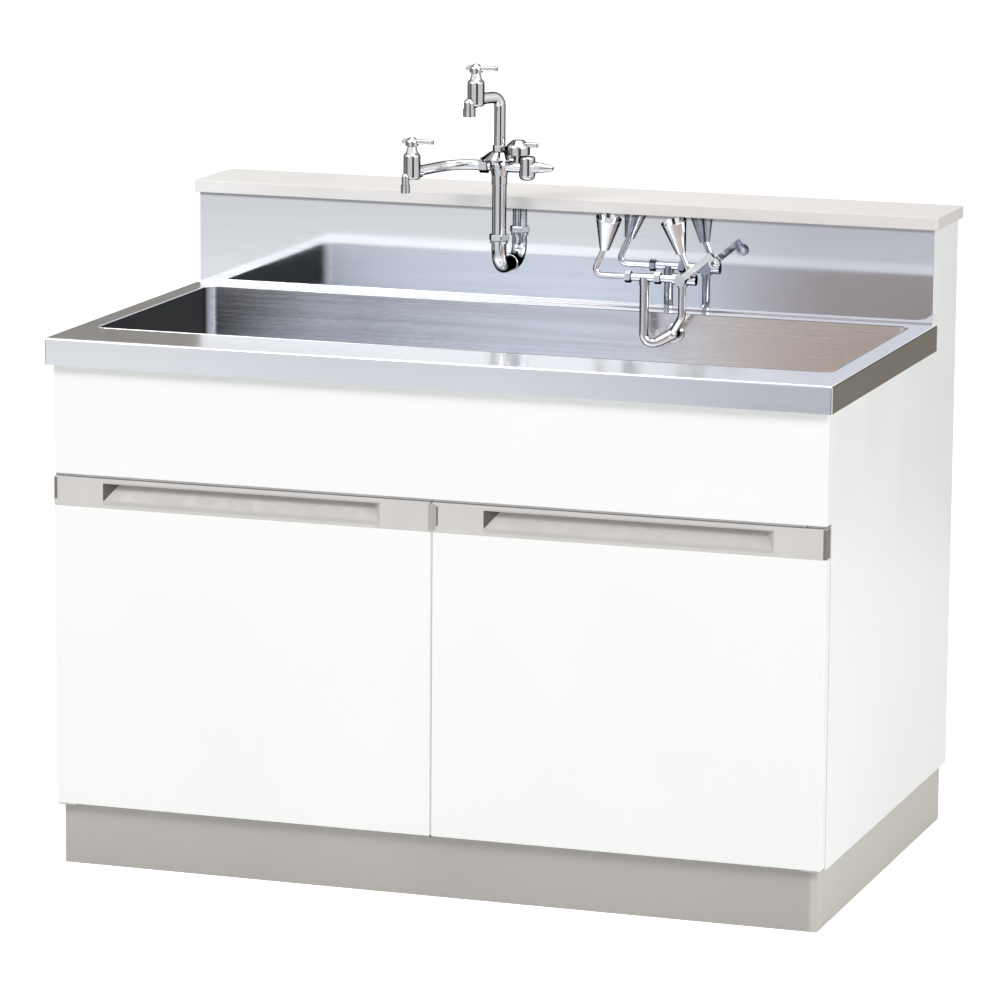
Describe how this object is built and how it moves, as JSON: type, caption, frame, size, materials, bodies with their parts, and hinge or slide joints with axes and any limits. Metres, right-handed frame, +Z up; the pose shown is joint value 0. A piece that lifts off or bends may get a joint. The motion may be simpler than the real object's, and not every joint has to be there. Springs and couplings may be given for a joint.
{
  "type": "laboratory sink unit",
  "caption": "Free-standing laboratory sink cabinet: full-width stainless basin, back guard with shelf, three-way swivel tap, twin-cup eyewash and hinged doors with finger grips.",
  "frame": {"origin": "on the floor, under the middle of the unit's bounding box", "axes": "+X to the viewer's right along the unit, +Y from the doors towards the wall, +Z up"},
  "size_m": [1.2, 0.75, 1.1735],
  "materials": {
    "white_board": "white laminate, satin",
    "plinth_board": "grey laminate, satin",
    "carcass_board": "matt board",
    "grip_plastic": "satin",
    "shelf_laminate": "ivory laminate, satin",
    "stainless_sheet": "brushed",
    "chrome": "polished plating on brass",
    "fitting_steel": "zinc plated",
    "black_rubber": "matt",
    "pipe_plastic": "satin",
    "copper_pipe": "satin copper",
    "brass": "satin"
  },
  "bodies": {
    "cabinet": {"plinth_front": "plinth_board", "plinth_returns": "plinth_board", "levelling_feet": "fitting_steel", "bottom_panel": "carcass_board", "left_side_panel": "white_board", "right_side_panel": "white_board", "back_panel": "carcass_board", "front_apron": "white_board", "top_rails": "carcass_board", "door_rail": "carcass_board", "centre_post": "carcass_board", "hinge_plates": "fitting_steel", "door_catches": "pipe_plastic", "sink_deck": "stainless_sheet", "deck_core": "carcass_board", "basin": "stainless_sheet", "backsplash": "stainless_sheet", "splash_board": "carcass_board", "backguard_shelf": "shelf_laminate", "drain_cup": "stainless_sheet", "drain_gasket": "black_rubber", "drain_nut": "pipe_plastic", "bottle_trap": "pipe_plastic", "trap_nuts": "pipe_plastic", "waste_pipe": "pipe_plastic", "tap_supply_pipe": "copper_pipe", "eyewash_supply_pipe": "copper_pipe", "supply_nuts": "brass", "wall_flanges": "chrome", "tap_wall_elbow": "chrome", "tap_union_nut": "chrome", "tap_riser": "chrome", "tap_hub": "chrome", "left_arm": "chrome", "left_tap_body": "chrome", "right_tap_body": "chrome", "hose_nozzle": "chrome", "tap_gland_nuts": "chrome", "eyewash_body": "chrome", "eyewash_valve": "chrome", "eyewash_arms": "chrome", "eyewash_cups": "chrome", "eyewash_feed_tee": "chrome", "eyewash_riser": "chrome", "eyewash_valve_pipe": "chrome"},
    "left_door": {"left_door_panel": "white_board", "left_door_grip": "grip_plastic", "left_door_fittings": "fitting_steel"},
    "right_door": {"right_door_panel": "white_board", "right_door_grip": "grip_plastic", "right_door_fittings": "fitting_steel"},
    "spout": {"swan_neck": "chrome", "top_tap_body": "chrome", "top_tap_bonnet": "chrome"},
    "top_handle": {"top_handle": "chrome"},
    "left_handle": {"left_handle": "chrome"},
    "right_handle": {"right_handle": "chrome"},
    "eyewash_lever": {"eyewash_lever": "chrome"},
    "strainer_basket": {"strainer_basket": "stainless_sheet"}
  },
  "joints": [
    {"name": "left_door_hinge", "type": "hinge", "parent": "cabinet", "child": "left_door", "pos_m": [-0.586, -0.349, 0.343], "axis": [0, 0, -1], "range_deg": [0, 110]},
    {"name": "right_door_hinge", "type": "hinge", "parent": "cabinet", "child": "right_door", "pos_m": [0.586, -0.349, 0.343], "axis": [0, 0, 1], "range_deg": [0, 110]},
    {"name": "spout_swivel", "type": "hinge", "parent": "cabinet", "child": "spout", "pos_m": [-0.08, 0.175, 1.036], "axis": [0, 0, 1], "range_deg": [-120, 120]},
    {"name": "top_handle_turn", "type": "hinge", "parent": "spout", "child": "top_handle", "pos_m": [-0.10472, 0.13386, 1.16], "axis": [0, 0, 1], "range_deg": [0, 90]},
    {"name": "left_handle_turn", "type": "hinge", "parent": "cabinet", "child": "left_handle", "pos_m": [-0.195, 0.09903, 1.04802], "axis": [0, 0, 1], "range_deg": [0, 90]},
    {"name": "right_handle_turn", "type": "hinge", "parent": "cabinet", "child": "right_handle", "pos_m": [-0.05, 0.175, 1.0325], "axis": [0, 0, 1], "range_deg": [0, 90]},
    {"name": "eyewash_lever_turn", "type": "hinge", "parent": "cabinet", "child": "eyewash_lever", "pos_m": [0.218, 0.152, 0.857], "axis": [0, 1, 0], "range_deg": [0, 90]},
    {"name": "basket_lift", "type": "slide", "parent": "cabinet", "child": "strainer_basket", "axis": [0, 0, 1], "range_m": [0, 0.12]}
  ]
}
